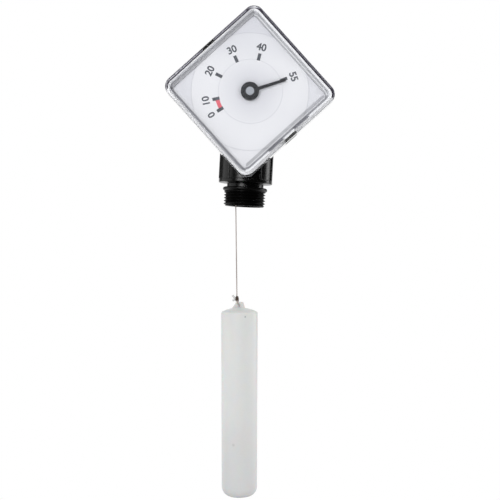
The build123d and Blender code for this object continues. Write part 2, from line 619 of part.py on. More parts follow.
# ---- Idler: a wheel and a pinion on one arbor that turns between the plates ----
with BuildPart() as idler_wheel:
    with BuildSketch(facing(IDLER_WHEEL_BACK_Y, idler_x, idler_z)):
        gear(WHEEL_TEETH, WHEEL_TIP_CUT, IDLER_ANGLE + 180 + 180 / WHEEL_TEETH)
        wheel_windows()
        Circle(IDLER_ARBOR_R, mode=Mode.SUBTRACT)
    extrude(amount=WHEEL_THICKNESS)
save(idler_wheel.part, "idler_wheel")

with BuildPart() as idler_pinion:
    with BuildSketch(facing(IDLER_WHEEL_FRONT_Y, idler_x, idler_z)):
        gear(PINION_TEETH, 0, IDLER_ANGLE + 180)
        Circle(IDLER_ARBOR_R, mode=Mode.SUBTRACT)
    extrude(amount=IDLER_PINION_LENGTH)
save(idler_pinion.part, "idler_pinion")

with BuildPart() as idler_arbor:
    with BuildSketch(facing(REAR_PLATE_BACK_Y, idler_x, idler_z)):
        Circle(IDLER_ARBOR_R)
    extrude(amount=REAR_PLATE_BACK_Y - FRONT_PLATE_FRONT_Y)
save(idler_arbor.part, "idler_arbor")

# ---- Pointer: wheel and arbor behind the dial, pointer and cap in front of it ----
with BuildPart() as pointer_wheel:
    with BuildSketch(facing(POINTER_WHEEL_BACK_Y)):
        gear(WHEEL_TEETH, WHEEL_TIP_CUT, IDLER_ANGLE + 180 / WHEEL_TEETH)
        wheel_windows()
        Circle(POINTER_ARBOR_R, mode=Mode.SUBTRACT)
    extrude(amount=WHEEL_THICKNESS)
save(pointer_wheel.part, "pointer_wheel")

pointer_front_y = POINTER_HUB_FRONT_Y + POINTER_CAP - POINTER_CAP_PROUD
with BuildPart() as pointer_arbor:
    with BuildSketch(facing(arbor_front_y - END_PLAY)):
        Circle(POINTER_ARBOR_R)
    extrude(amount=arbor_front_y - END_PLAY - pointer_front_y)
    with BuildSketch(facing(arbor_front_y - END_PLAY)):
        Circle(PIVOT_R)
    extrude(amount=-PIVOT_LENGTH)
save(pointer_arbor.part, "pointer_arbor")

needle_back_y = POINTER_BACK_Y - (POINTER_HUB - POINTER_THICKNESS) / 2
with BuildPart() as pointer:
    with BuildSketch(facing(POINTER_BACK_Y)):
        Circle(POINTER_HUB_R)
    extrude(amount=POINTER_HUB)
    with BuildSketch(facing(needle_back_y) * Rot(Z=POINTER_ANGLE)):
        with BuildLine():
            Polyline(
                (0, -POINTER_ROOT_WIDTH / 2),
                (POINTER_REACH, -POINTER_TIP_WIDTH / 2),
                (POINTER_REACH, POINTER_TIP_WIDTH / 2),
                (0, POINTER_ROOT_WIDTH / 2),
                close=True,
            )
        make_face()
    extrude(amount=POINTER_THICKNESS)
    with BuildSketch(facing(POINTER_HUB_FRONT_Y)):
        Circle(POINTER_CAP_R)
    extrude(amount=-(POINTER_CAP - POINTER_CAP_PROUD), mode=Mode.SUBTRACT)
    with BuildSketch(facing(POINTER_BACK_Y)):
        Circle(POINTER_ARBOR_R)
    extrude(amount=POINTER_HUB, mode=Mode.SUBTRACT)
save(pointer.part, "pointer")

with BuildPart() as pointer_cap:
    with BuildSketch(facing(pointer_front_y)):
        Circle(POINTER_CAP_R)
    extrude(amount=POINTER_CAP)
    fillet(pointer_cap.edges().group_by(Axis.Y)[0], POINTER_CAP_PROUD / 2)
save(pointer_cap.part, "pointer_cap")

# ---- Hanging cord: straight from the drum, beside the wound turns, to the knot ----
lean = math.radians(CORD_LEAN)
cord_down = Vector(math.sin(lean), 0, -math.cos(lean))
tangent = Vector(-WINDING_R * math.cos(lean), 0, DIAL_HEIGHT - WINDING_R * math.sin(lean))
cord_length = (tangent.Z + KNOT_DROP) / math.cos(lean) - KNOT_LENGTH / 2
knot = tangent + cord_down * (cord_length + KNOT_LENGTH / 2)
cord_top = Plane(origin=tuple(tangent), x_dir=(0, 1, 0), z_dir=tuple(cord_down))
with BuildPart() as float_cord:
    with BuildSketch(cord_top):
        Circle(CORD_R)
    extrude(amount=cord_length)
save(float_cord.part, "float_cord")

# ---- Knot and loop: the cord's end, tied through the float's eye ----
eye = Vector(EYE_X, 0, -EYE_DROP)
loop_up = (knot - eye).normalized()
loop_rise = LOOP_HALF_WIDTH - math.sqrt(LOOP_HALF_WIDTH**2 - (TAB_THICKNESS / 2) ** 2)
loop_bottom = eye + loop_up * (EYE_R - LOOP_R - CORD_GAP - loop_rise)
loop_reach = (knot - loop_bottom).length
knot_side = Vector(0, 1, 0)
with BuildPart() as cord_knot:
    with BuildSketch(Plane(origin=tuple(knot), x_dir=(0, 1, 0), z_dir=(math.cos(lean), 0, math.sin(lean)))):
        with BuildLine():
            ThreePointArc((CORD_R, -KNOT_LENGTH / 2), (KNOT_R, 0), (CORD_R, KNOT_LENGTH / 2))
            Polyline(
                (CORD_R, KNOT_LENGTH / 2),
                (0, KNOT_LENGTH / 2),
                (0, -KNOT_LENGTH / 2),
                (CORD_R, -KNOT_LENGTH / 2),
            )
        make_face()
    revolve(axis=Axis(tuple(knot), tuple(cord_down)))
    loop_middle = loop_bottom + loop_up * (loop_reach / 2)
    loop_plane = Plane(origin=tuple(loop_middle), x_dir=tuple(loop_up), z_dir=tuple(loop_up.cross(knot_side)))
    with BuildLine(loop_plane) as loop_line:
        half_straight = loop_reach / 2 - LOOP_HALF_WIDTH
        Line((-half_straight, LOOP_HALF_WIDTH), (half_straight, LOOP_HALF_WIDTH))
        CenterArc((half_straight, 0), LOOP_HALF_WIDTH, 90, -180)
        Line((half_straight, -LOOP_HALF_WIDTH), (-half_straight, -LOOP_HALF_WIDTH))
        CenterArc((-half_straight, 0), LOOP_HALF_WIDTH, -90, -180)
    loop_path = loop_line.wire()
    with BuildSketch(Plane(origin=loop_path @ 0, z_dir=loop_path % 0)):
        Circle(LOOP_R)
    sweep(path=loop_path)
save(cord_knot.part, "cord_knot")

# ---- Float: a blow-moulded bottle with a flat tab and an eye on its crown ----
tilt = math.radians(FLOAT_LEAN)
float_up = (-math.sin(tilt), 0, math.cos(tilt))
float_right = (math.cos(tilt), 0, math.sin(tilt))
float_front = Plane(origin=tuple(eye), x_dir=float_right, z_dir=(0, -1, 0))
float_axis = Axis(tuple(eye), float_up)
crown = -EYE_TO_CROWN
foot = crown - FLOAT_LENGTH


def float_outline(inset):
    # Half of the float's section, drawn inwards from its outside by inset.
    top_r = FLOAT_TOP_R - inset
    bottom_r = FLOAT_BOTTOM_R - inset
    top = crown - inset
    bottom = foot + inset
    dome_r = (top_r**2 + FLOAT_DOME**2) / (2 * FLOAT_DOME)
    with BuildLine() as outline:
        dome = JernArc((0, top), (1, 0), dome_r, -math.degrees(math.asin(top_r / dome_r)))
        Polyline(dome @ 1, (bottom_r, bottom), (0, bottom), (0, top))
    make_face(outline.edges())
    fillet(vertices().group_by(Axis.Y)[0].sort_by(Axis.X)[-1], FLOAT_FOOT_R - inset)
    fillet(vertices().sort_by(Axis.X)[-1], FLOAT_SHOULDER_R - inset / 2)


with BuildPart() as float_body:
    with BuildSketch(float_front):
        float_outline(0)
    revolve(axis=float_axis)
    with BuildSketch(float_front.offset(TAB_THICKNESS / 2)):
        with BuildLine():
            Polyline(
                (-TAB_BASE_LEFT, -TAB_DROP),
                (-TAB_TOP_LEFT, TAB_RISE),
                (TAB_TOP_RIGHT, TAB_RISE),
                (TAB_BASE_RIGHT, -TAB_DROP),
                close=True,
            )
        make_face()
        fillet(vertices().group_by(Axis.Y)[-1], TAB_CORNER_R)
    extrude(amount=-TAB_THICKNESS)
    with BuildSketch(float_front.offset(TAB_THICKNESS / 2)):
        Circle(EYE_R)
    extrude(amount=-TAB_THICKNESS, mode=Mode.SUBTRACT)
    with BuildSketch(float_front):
        float_outline(FLOAT_WALL)
    revolve(axis=float_axis, mode=Mode.SUBTRACT)
save(float_body.part, "float")
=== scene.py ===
import json
import math

import bmesh
import bpy
from mathutils import Matrix, Vector


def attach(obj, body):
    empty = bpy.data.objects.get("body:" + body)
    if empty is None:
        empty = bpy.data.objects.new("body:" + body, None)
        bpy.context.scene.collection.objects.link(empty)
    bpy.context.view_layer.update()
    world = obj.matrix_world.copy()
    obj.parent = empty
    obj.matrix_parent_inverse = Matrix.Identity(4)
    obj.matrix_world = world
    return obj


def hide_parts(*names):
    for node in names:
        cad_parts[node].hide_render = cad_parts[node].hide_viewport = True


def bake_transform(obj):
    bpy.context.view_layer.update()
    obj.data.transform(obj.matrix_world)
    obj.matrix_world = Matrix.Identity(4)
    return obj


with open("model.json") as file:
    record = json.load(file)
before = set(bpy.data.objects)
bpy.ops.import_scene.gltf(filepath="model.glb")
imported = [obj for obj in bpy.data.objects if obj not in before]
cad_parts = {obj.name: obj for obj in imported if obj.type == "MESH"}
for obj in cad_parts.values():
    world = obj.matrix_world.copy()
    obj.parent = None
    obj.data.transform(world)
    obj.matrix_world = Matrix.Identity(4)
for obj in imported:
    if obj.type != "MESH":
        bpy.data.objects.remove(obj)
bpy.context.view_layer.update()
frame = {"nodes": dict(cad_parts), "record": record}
print("frame loaded,", len(frame["nodes"]), "nodes")


# Node trees: a wire is a socket that takes part in sums, and every other node comes from Nodes.add.

class Wire:
    def __init__(self, nodes, node, output=0):
        self.nodes = nodes
        self.node = node
        self.socket = node.outputs[output] if len(node.outputs) else None

    def out(self, name):
        return Wire(self.nodes, self.node, name)

    def calc(self, operation, *terms):
        return self.nodes.add("ShaderNodeMath", {"operation": operation}, dict(enumerate(terms)))

    def __add__(self, other):
        return self.calc("ADD", self, other)

    def __radd__(self, other):
        return self.calc("ADD", other, self)

    def __sub__(self, other):
        return self.calc("SUBTRACT", self, other)

    def __rsub__(self, other):
        return self.calc("SUBTRACT", other, self)

    def __mul__(self, other):
        return self.calc("MULTIPLY", self, other)

    def __rmul__(self, other):
        return self.calc("MULTIPLY", other, self)

    def __truediv__(self, other):
        return self.calc("DIVIDE", self, other)

    def __rtruediv__(self, other):
        return self.calc("DIVIDE", other, self)

    def __pow__(self, other):
        return self.calc("POWER", self, other)

    def __rpow__(self, other):
        return self.calc("POWER", other, self)

    def less(self, other):
        return self.calc("LESS_THAN", self, other)

    def more(self, other):
        return self.calc("GREATER_THAN", self, other)

    def least(self, other):
        return self.calc("MINIMUM", self, other)

    def most(self, other):
        return self.calc("MAXIMUM", self, other)

    def sine(self):
        return self.calc("SINE", self)

    def size(self):
        return self.calc("ABSOLUTE", self)

    def floor(self):
        return self.calc("FLOOR", self)

    def step(self, low, high):
        # 0 below low and 1 above high, with a soft ramp between them
        return self.nodes.add(
            "ShaderNodeMapRange",
            {"interpolation_type": "SMOOTHSTEP"},
            {"Value": self, "From Min": low, "From Max": high},
        )


class Nodes:
    def __init__(self, tree):
        self.tree = tree

    def add(self, kind, settings=None, sockets=None, output=0):
        node = self.tree.nodes.new(kind)
        for name, value in (settings or {}).items():
            setattr(node, name, value)
        for name, value in (sockets or {}).items():
            if isinstance(value, Wire):
                self.tree.links.new(value.socket, node.inputs[name])
            else:
                node.inputs[name].default_value = value
        return Wire(self, node, output)

    def place(self):
        return self.add("ShaderNodeTexCoord").out("Object")

    def parts(self, vector):
        split = self.add("ShaderNodeSeparateXYZ", None, {0: vector})
        return split.out("X"), split.out("Y"), split.out("Z")

    def vector(self, operation, *terms):
        return self.add("ShaderNodeVectorMath", {"operation": operation}, dict(enumerate(terms)))

    def scaled(self, vector, scale):
        return self.add("ShaderNodeVectorMath", {"operation": "SCALE"}, {0: vector, "Scale": scale})

    def angle(self, y, x):
        return self.add("ShaderNodeMath", {"operation": "ARCTAN2"}, {0: y, 1: x})

    def noise(self, scale, detail):
        sockets = {"Vector": self.place(), "Scale": scale, "Detail": detail}
        return self.add("ShaderNodeTexNoise", None, sockets)

    def blend(self, share, first, second):
        # a colour between two others
        return self.add("ShaderNodeMix", {"data_type": "RGBA"}, {0: share, 6: first, 7: second}, 2)

    def bump(self, height, depth):
        return self.add("ShaderNodeBump", None, {"Height": height, "Distance": depth})


def grey(level, warmth=0.0):
    return (level * (1 + warmth), level, level * (1 - warmth), 1.0)


def bareMaterial(name):
    material = bpy.data.materials.new(name)
    material.use_nodes = True
    material.node_tree.nodes.clear()
    return material, Nodes(material.node_tree)


def makeMaterial(name, fixed, varying):
    # fixed goes straight onto the shader's sockets, and varying(nodes) gives what changes over the surface
    material, nodes = bareMaterial(name)
    shader = nodes.add("ShaderNodeBsdfPrincipled", None, {**fixed, **varying(nodes)})
    nodes.add("ShaderNodeOutputMaterial", None, {"Surface": shader})
    return material


def grainLook(scale, detail, dark, light, rough, spread, relief=None):
    # one noise moves the colour, the roughness and, where there is relief, the surface
    def look(nodes):
        grain = nodes.noise(scale, detail)
        varying = {"Base Color": nodes.blend(grain, dark, light), "Roughness": rough + spread * grain}
        if relief:
            varying["Normal"] = nodes.bump(grain, relief)
        return varying
    return look


# Helpers for objects and meshes.

def addObject(name, data):
    added = bpy.data.objects.new(name, data)
    bpy.context.scene.collection.objects.link(added)
    return added


def addPiece(name, mesh, body, smoothAngle=30):
    mesh.name = name
    mesh.shade_smooth()
    mesh.set_sharp_from_angle(angle=math.radians(smoothAngle))
    piece = addObject(name, mesh)
    if body:
        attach(piece, body)
    return piece


def faceMesh(name, verts, faces):
    mesh = bpy.data.meshes.new(name)
    mesh.from_pydata(verts, [], faces)
    return mesh


def lineMesh(points):
    mesh = bpy.data.meshes.new("line")
    mesh.from_pydata(points, [(i, i + 1) for i in range(len(points) - 1)], [])
    return mesh


def takeMesh(carrier):
    # what an object comes to with its modifiers, as a plain mesh, in place of the object
    made = bpy.data.meshes.new_from_object(carrier.evaluated_get(bpy.context.evaluated_depsgraph_get()))
    bpy.data.objects.remove(carrier)
    return made


def fixNormals(mesh):
    # outward faces on a closed mesh
    work = bmesh.new()
    work.from_mesh(mesh)
    bmesh.ops.remove_doubles(work, verts=work.verts, dist=1e-6)
    bmesh.ops.recalc_face_normals(work, faces=work.faces)
    work.to_mesh(mesh)
    work.free()


def quarter(steps):
    # sines and cosines over a quarter turn
    return [(math.sin(math.pi / 2 * n / steps), math.cos(math.pi / 2 * n / steps)) for n in range(steps + 1)]


def newTree(name, inputs):
    # a geometry tree with named inputs; gives back its nodes and the wires that come in
    tree = bpy.data.node_groups.new(name, "GeometryNodeTree")
    tree.interface.new_socket("Geometry", in_out="OUTPUT", socket_type="NodeSocketGeometry")
    tree.interface.new_socket("Geometry", in_out="INPUT", socket_type="NodeSocketGeometry")
    for label, kind in inputs.items():
        tree.interface.new_socket(label, in_out="INPUT", socket_type="NodeSocket" + kind)
    nodes = Nodes(tree)
    incoming = nodes.add("NodeGroupInput")
    wires = {label: incoming.out(label) for label in inputs}
    return nodes, incoming, wires


def endTree(nodes, geometry, material):
    real = nodes.add("GeometryNodeRealizeInstances", None, {0: geometry})
    dressed = nodes.add("GeometryNodeSetMaterial", None, {"Geometry": real, "Material": material})
    nodes.add("NodeGroupOutput", None, {0: dressed})


def bakeTree(nodes, host, values):
    # runs the tree on a mesh and keeps what it makes as a plain mesh
    carrier = addObject("carrier", host)
    modifier = carrier.modifiers.new("shape", "NODES")
    modifier.node_group = nodes.tree
    for item in nodes.tree.interface.items_tree:
        if item.in_out == "INPUT" and item.name in values:
            modifier[item.identifier] = values[item.name]
    return takeMesh(carrier)


# Camera: straight in front, with a small lean about its own line of sight.

cameraSettings = {
    "distance": 0.770,
    "aim": (0.0066, -0.0467),
    "width": 0.4025,
    "lean": 3.1,
    "sensor": 36.0,
}


def makeCamera(s):
    data = bpy.data.cameras.new("camera")
    data.sensor_width = s["sensor"]
    data.lens = data.sensor_width * s["distance"] / s["width"]
    camera = addObject("camera", data)
    lean = math.radians(s["lean"])
    turn = Matrix((
        (math.cos(lean), -math.sin(lean), 0.0),
        (0.0, 0.0, -1.0),
        (math.sin(lean), math.cos(lean), 0.0),
    ))
    camera.matrix_world = Matrix.Translation((s["aim"][0], -s["distance"], s["aim"][1])) @ turn.to_4x4()
    bpy.context.scene.camera = camera


makeCamera(cameraSettings)
print("camera set")


# Cord: hangs straight from the drum to the knot.

cordSettings = {
    "points": [
        (-0.012422, 0.0, 0.073673), (-0.012024, 0.0, 0.067686),
        (-0.002301, 0.0, -0.078318), (-0.001902, 0.0, -0.084305),
    ],
    "length": 0.1583,
    "diameter": 0.0010,
    "strands": 3,
    "strandShare": 0.27,  # how deep the grooves between strands are, of the radius
    "twistPitch": 0.0045,
    "step": 0.0005,
    "around": 15,
    "darkAt": -0.0615,  # the middle of a darker stretch above the knot
    "darkReach": (0.006, 0.017),
}


def cordLook(nodes):
    s = cordSettings
    along = nodes.parts(nodes.place())[2]
    fibres = nodes.noise(5200.0, 3.0)
    shade = nodes.noise(34.0, 2.0)
    darker = 1 - (along - s["darkAt"]).size().step(*s["darkReach"])
    share = (0.35 + 0.65 * fibres) * (1 - 0.55 * darker) * (0.75 + 0.5 * shade)
    return {
        "Base Color": nodes.blend(share, (0.205, 0.165, 0.150, 1.0), (0.46, 0.405, 0.385, 1.0)),
        "Roughness": 0.62 + 0.2 * fibres,
        "Normal": nodes.bump(fibres, 0.00006),
    }


def splinePoints(points):
    # points along the smooth line that has these as its control points
    curve = bpy.data.curves.new("route", "CURVE")
    curve.dimensions = "3D"
    curve.resolution_u = 24
    spline = curve.splines.new("NURBS")
    spline.points.add(len(points) - 1)
    for control, point in zip(spline.points, points):
        control.co = (*point, 1.0)
    spline.order_u = 3
    spline.use_endpoint_u = True
    return [tuple(v.co) for v in takeMesh(addObject("route", curve)).vertices]


def ropeTree(s):
    # a rope of a few strands laid round each other, along the line that comes in
    nodes, incoming, w = newTree("twistedRope", {
        "Radius": "Float", "Groove": "Float", "Strands": "Float",
        "Twist": "Float", "Step": "Float", "Material": "Material",
    })
    curve = nodes.add("GeometryNodeMeshToCurve", None, {0: incoming})
    dense = nodes.add("GeometryNodeResampleCurve", {"mode": "LENGTH"}, {"Curve": curve, "Length": w["Step"]})
    walked = nodes.add("GeometryNodeSplineParameter").out("Length")
    turned = nodes.add("GeometryNodeSetCurveTilt", None, {"Curve": dense, "Tilt": walked * w["Twist"]})
    ring = nodes.add("GeometryNodeCurvePrimitiveCircle", None, {"Resolution": s["around"], "Radius": 1.0})
    position = nodes.add("GeometryNodeInputPosition")
    x, y, z = nodes.parts(position)
    lobe = 1 - w["Groove"] * (0.5 - 0.5 * (nodes.angle(y, x) * w["Strands"]).sine())
    outline = nodes.add("GeometryNodeSetPosition", None, {
        "Geometry": ring, "Position": nodes.scaled(position, lobe * w["Radius"]),
    })
    tube = nodes.add("GeometryNodeCurveToMesh", None, {
        "Curve": turned, "Profile Curve": outline, "Fill Caps": True,
    })
    endTree(nodes, tube, w["Material"])
    return nodes


def layRope(route, diameter, twistPitch, step, look):
    return bakeTree(cordTree, lineMesh(route), {
        "Radius": diameter / 2, "Twist": 2 * math.pi / twistPitch, "Step": step, "Material": look,
        "Groove": cordSettings["strandShare"], "Strands": float(cordSettings["strands"]),
    })


def makeCord(s):
    route = splinePoints(s["points"])
    mesh = layRope(route, s["diameter"], s["twistPitch"], s["step"], cordBraid)
    cord = addPiece("hangingCord", mesh, None, 60)
    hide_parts("float_cord")
    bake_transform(cord)
    return cord, route


cordTree = ropeTree(cordSettings)
cordBraid = makeMaterial("cordBraid", {"Specular IOR Level": 0.3}, cordLook)
cord, cordRoute = makeCord(cordSettings)
print("cord laid,", len(cord.data.polygons), "faces")


# Knot: wraps of the cord, the loop through the float's eye, and two stiffened ends.

knotSettings = {
    "centre": (-0.00160, 0.0, -0.08650),
    "down": (0.066447, 0.0, -0.997790),
    "length": 0.0050,
    "wraps": 4.5,
    "wrapRadius": 0.00098,
    "cordRadius": 0.00050,
    "wrapSteps": 28,
    "around": 10,
    "barrel": {"thin": 0.40, "swell": 0.60, "shift": 0.25, "span": 0.76},
    "loop": [
        (-0.00175, -0.0003, -0.0868), (-0.00150, -0.0011, -0.0884), (-0.00070, -0.00185, -0.0900),
        (0.00030, -0.00200, -0.0913), (0.00052, -0.00170, -0.0920), (0.00054, 0.0, -0.0921),
        (0.00052, 0.00170, -0.0920), (0.00030, 0.00200, -0.0913), (-0.00070, 0.00185, -0.0900),
        (-0.00150, 0.0011, -0.0884), (-0.00175, 0.0003, -0.0868),
    ],
    "loopDiameter": 0.00140,
    "ends": [
        [
            (-0.0019, -0.0003, -0.0869), (-0.0032, -0.0006, -0.0862),
            (-0.0044, -0.0006, -0.0850), (-0.0055, -0.0004, -0.0838),
        ],
        [
            (-0.0019, 0.0002, -0.0862), (-0.0031, -0.0001, -0.0869),
            (-0.0042, -0.0002, -0.0875), (-0.0051, -0.0001, -0.0881),
        ],
    ],
    "endDiameter": 0.00190,
    "dipped": (-0.0034, -0.0026),  # where the ends turn pale, across the knot
    "twistPitch": 0.0032,
    "step": 0.00022,
}


def knotLook(nodes):
    fibres = nodes.noise(4200.0, 3.0)
    patches = nodes.noise(700.0, 1.0)
    share = (0.2 + 0.5 * fibres) * (0.5 + patches)
    return {
        "Base Color": nodes.blend(share, (0.020, 0.012, 0.009, 1.0), (0.130, 0.090, 0.070, 1.0)),
        "Roughness": 0.45 + 0.3 * fibres,
        "Normal": nodes.bump(fibres, 0.00008),
    }


def endLook(nodes):
    # dipped ends, dark where they leave the knot
    x = nodes.parts(nodes.place())[0]
    cloud = nodes.noise(900.0, 2.0)
    pale = nodes.blend(cloud, (0.46, 0.47, 0.47, 1.0), (0.74, 0.74, 0.74, 1.0))
    return {
        "Base Color": nodes.blend(x.step(*knotSettings["dipped"]), pale, (0.060, 0.042, 0.034, 1.0)),
        "Roughness": 0.3 + 0.25 * cloud,
    }


def wrapTree(s):
    # turns of cord round a barrel that is fuller towards its lower end
    nodes, incoming, w = newTree("knotWraps", {
        "Turns": "Float", "Length": "Float", "Radius": "Float", "Cord": "Float", "Material": "Material",
    })
    spiral = nodes.add("GeometryNodeCurveSpiral", None, {
        "Resolution": s["wrapSteps"], "Rotations": w["Turns"], "Height": w["Length"],
        "Start Radius": w["Radius"], "End Radius": w["Radius"],
    })
    barrel = s["barrel"]
    share = nodes.add("GeometryNodeSplineParameter").out("Factor")
    x, y, z = nodes.parts(nodes.add("GeometryNodeInputPosition"))
    full = barrel["thin"] + barrel["swell"] * ((share + barrel["shift"]) * (barrel["span"] * math.pi)).sine()
    moved = nodes.add("ShaderNodeCombineXYZ", None, {"X": x * full, "Y": y * full, "Z": z - w["Length"] / 2})
    swollen = nodes.add("GeometryNodeSetPosition", None, {"Geometry": spiral, "Position": moved})
    ring = nodes.add("GeometryNodeCurvePrimitiveCircle", None, {
        "Resolution": s["around"], "Radius": w["Cord"],
    })
    tube = nodes.add("GeometryNodeCurveToMesh", None, {
        "Curve": swollen, "Profile Curve": ring, "Fill Caps": True,
    })
    endTree(nodes, tube, w["Material"])
    return nodes


def knotRope(name, points, diameter, look):
    # a short length of the same line, laid along its control points
    s = knotSettings
    mesh = layRope(splinePoints(points), diameter, s["twistPitch"], s["step"], look)
    return addPiece(name, mesh, "float", 60)


def makeKnot(s):
    mesh = bakeTree(wrapTree(s), lineMesh([(0, 0, 0)]), {
        "Turns": s["wraps"], "Length": s["length"] - 2 * s["cordRadius"], "Radius": s["wrapRadius"],
        "Cord": s["cordRadius"], "Material": knotBraid,
    })
    turn = Vector((0, 0, -1)).rotation_difference(Vector(s["down"])).to_matrix().to_4x4()
    mesh.transform(Matrix.Translation(s["centre"]) @ turn)
    pieces = [addPiece("knotWraps", mesh, "float", 60)]
    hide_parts("cord_knot")
    pieces.append(knotRope("eyeLoop", s["loop"], s["loopDiameter"], cordBraid))
    for number, points in enumerate(s["ends"], 1):
        pieces.append(knotRope("cordEnd%d" % number, points, s["endDiameter"], dippedEnds))
    return pieces


knotBraid = makeMaterial("knotBraid", {"Specular IOR Level": 0.4}, knotLook)
dippedEnds = makeMaterial("dippedEnds", {"Specular IOR Level": 0.5}, endLook)
knotPieces = makeKnot(knotSettings)

print("knot tied,", len(knotPieces), "pieces")


# Black moulded parts: the housing and the connector with its cut thread.

collarSettings = {
    "inner": 0.0204,
    "outer": 0.02172,
    "foot": 0.0095,
    "level": 0.2,  # faces that tip up or down by more than this stay as they are
}

connectorSettings = {
    "crest": 0.01662,
    "threadDepth": 0.00148,
    "pitch": 0.002309,
    "threadLength": 0.0120,
    "threadRows": 110,
    "threadTop": 0.00015,
    "threadLift": 0.00001,
    "rootShare": 0.08,
    "flankShare": 0.80,
    "runOut": (-0.0009, -0.0002),
    "chamfer": 0.0013,
    "bore": 0.0132,
    "boreChamfer": 0.0003,
    "neck": 0.01475,
    "neckLength": 0.0064,
    "neckFoot": 0.0004,
    "neckChamfer": 0.0005,
    "flange": 0.0215,
    "flangeThickness": 0.0028,
    "spigot": 0.0170,
    "spigotLength": 0.0160,
    "round": 0.0005,
    "roundSteps": 6,
    "around": 160,
}


def blackLook(nodes):
    grain = nodes.noise(2600.0, 4.0)
    cloud = nodes.noise(55.0, 2.0)
    edge = nodes.add("ShaderNodeNewGeometry").out("Pointiness").step(0.52, 0.60)
    return {
        "Base Color": nodes.blend(edge * 0.25 + cloud * 0.3, grey(0.0004, 0.04), grey(0.0024, 0.08)),
        "Roughness": 0.20 + 0.08 * cloud + 0.05 * grain,
        "Normal": nodes.bump(grain, 0.00001),
    }


def collarLook(nodes):
    # as the other black parts, with the flats between the collar's ribs a little rounded
    s = collarSettings
    look = blackLook(nodes)
    place = nodes.place()
    x, y, z = nodes.parts(place)
    radius = (x * x + y * y) ** 0.5
    normal = nodes.add("ShaderNodeNewGeometry").out("Normal")
    upright = nodes.parts(normal)[2].size().less(s["level"])
    flat = radius.more(s["inner"]) * radius.less(s["outer"]) * z.more(s["foot"]) * upright
    outward = nodes.vector("NORMALIZE", nodes.vector("MULTIPLY", place, (1.0, 1.0, 0.0)))
    mixed = nodes.add("ShaderNodeMix", {"data_type": "VECTOR"}, {0: flat, 4: normal, 5: outward}, 1)
    look["Normal"] = nodes.vector("NORMALIZE", mixed)
    return look


def connectorProfile(s):
    # the section's outline in X and Z, with fine steps where the thread runs
    low = -s["threadLength"]
    base = s["neckLength"] + s["flangeThickness"]
    points = [(s["bore"] + s["boreChamfer"], low), (s["crest"] - s["chamfer"], low)]
    for n in range(s["threadRows"] + 1):
        z = low + s["threadLength"] * n / s["threadRows"]
        points.append((min(s["crest"], s["crest"] - s["chamfer"] + (z - low)), z + s["threadLift"]))
    points.append((s["neck"] + s["neckFoot"], 2 * s["threadLift"]))
    points.append((s["neck"], s["neckChamfer"]))
    points.append((s["neck"], s["neckLength"] - s["neckChamfer"]))
    points.append((s["neck"] + s["neckChamfer"], s["neckLength"]))
    for a, b in quarter(s["roundSteps"]):
        points.append((s["flange"] - s["round"] * (1 - a), s["neckLength"] + s["round"] * (1 - b)))
    for a, b in quarter(s["roundSteps"]):
        points.append((s["flange"] - s["round"] * (1 - b), base - s["round"] * (1 - a)))
    points.append((s["spigot"], base))
    points.append((s["spigot"], base + s["spigotLength"]))
    points.append((s["bore"], base + s["spigotLength"]))
    points.append((s["bore"], low + s["boreChamfer"]))
    return points


def revolve(points, around):
    # a closed mesh from a closed section in X and Z
    verts, faces = [], []
    count = len(points)
    for n in range(around):
        a = 2 * math.pi * n / around
        verts += [(x * math.cos(a), x * math.sin(a), z) for x, z in points]
        m = (n + 1) % around
        for i in range(count):
            j = (i + 1) % count
            faces.append((n * count + i, n * count + j, m * count + j, m * count + i))
    return faceMesh("turned", verts, faces)


def threadTree(s):
    # cuts the thread into a turned shape, as a groove that climbs a pitch a turn
    nodes, incoming, w = newTree("cutThread", {
        "Crest": "Float", "Depth": "Float", "Pitch": "Float", "Material": "Material",
    })
    x, y, z = nodes.parts(nodes.add("GeometryNodeInputPosition"))
    radius = (x * x + y * y) ** 0.5
    phase = z / w["Pitch"] - nodes.angle(y, x) / (2 * math.pi)
    wave = (2 * (phase - phase.floor()) - 1).size()
    tooth = ((wave - s["rootShare"]) / s["flankShare"]).most(0.0).least(1.0)
    root = w["Crest"] - w["Depth"] * (1 - tooth) * (1 - z.step(*s["runOut"]))
    onThread = z.less(s["threadTop"]) * radius.more(w["Crest"] - w["Depth"])
    cut = radius * (1 - onThread) + radius.least(root) * onThread
    scale = cut / radius
    moved = nodes.add("ShaderNodeCombineXYZ", None, {"X": x * scale, "Y": y * scale, "Z": z})
    threaded = nodes.add("GeometryNodeSetPosition", None, {"Geometry": incoming, "Position": moved})
    endTree(nodes, threaded, w["Material"])
    return nodes


def makeConnector(s):
    turned = revolve(connectorProfile(s), s["around"])
    mesh = bakeTree(threadTree(s), turned, {
        "Crest": s["crest"], "Depth": s["threadDepth"], "Pitch": s["pitch"], "Material": blackPlastic,
    })
    fixNormals(mesh)
    mesh.materials.append(threadPlastic)
    for face in mesh.polygons:
        face.material_index = int(face.center.z < 0.0)
    piece = addPiece("threadedConnector", mesh, "head", 40)
    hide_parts("threaded_connector")


threadLook = grainLook(1900.0, 3.0, grey(0.0004), grey(0.0016, 0.04), 0.34, 0.12)
rubberLook = grainLook(1800.0, 3.0, grey(0.0006), grey(0.0020, 0.03), 0.30, 0.12, 0.00002)
blackPlastic = makeMaterial("blackPlastic", {"Specular IOR Level": 0.5}, blackLook)
collarPlastic = makeMaterial("collarPlastic", {"Specular IOR Level": 0.5}, collarLook)
sealRubber = makeMaterial("sealRubber", {"Specular IOR Level": 0.35}, rubberLook)
threadPlastic = makeMaterial("threadPlastic", {"Specular IOR Level": 0.12}, threadLook)
makeConnector(connectorSettings)
print("connector threaded")


# Dial print: its marks are where the pointer stands for each number, in degrees from the right.

